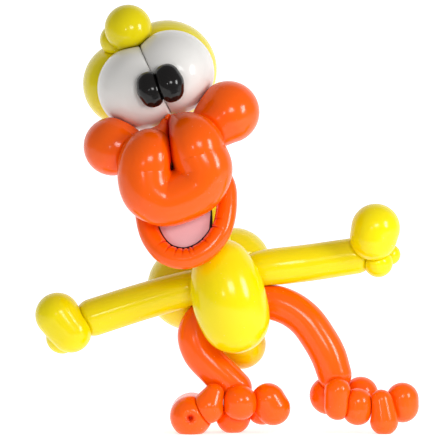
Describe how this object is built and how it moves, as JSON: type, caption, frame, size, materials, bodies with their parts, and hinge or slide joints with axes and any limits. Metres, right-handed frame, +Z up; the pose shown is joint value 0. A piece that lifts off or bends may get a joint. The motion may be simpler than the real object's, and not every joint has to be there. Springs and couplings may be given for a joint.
{
  "type": "balloon duck",
  "caption": "Standing duck made of twisted and stacked latex balloons, with outstretched arms, round eyes, a fat looped beak and an open mouth.",
  "frame": {"origin": "on the floor under the middle of the bounding box", "axes": "+Z up, -Y the way the duck faces, +X towards its own left hand"},
  "size_m": [0.5367, 0.2677, 0.6007],
  "materials": {
    "yellow_latex": "gloss",
    "orange_latex": "gloss",
    "white_latex": "gloss",
    "black_latex": "gloss",
    "pink_card": "matte",
    "black_card": "matte"
  },
  "bodies": {
    "root": {"head_round_right": "yellow_latex", "head_round_left": "yellow_latex", "tuft": "yellow_latex", "eye_right": "white_latex", "eye_left": "white_latex", "pupils": "black_latex", "beak_and_cheeks": "orange_latex", "jaw": "orange_latex", "belly": "yellow_latex", "back_round_right": "yellow_latex", "back_round_left": "yellow_latex", "tail": "yellow_latex", "neck": "yellow_latex", "arm_right": "yellow_latex", "arm_left": "yellow_latex", "leg_right": "orange_latex", "leg_left": "orange_latex", "tongue": "pink_card", "mouth_backing": "black_card"}
  },
  "joints": []
}
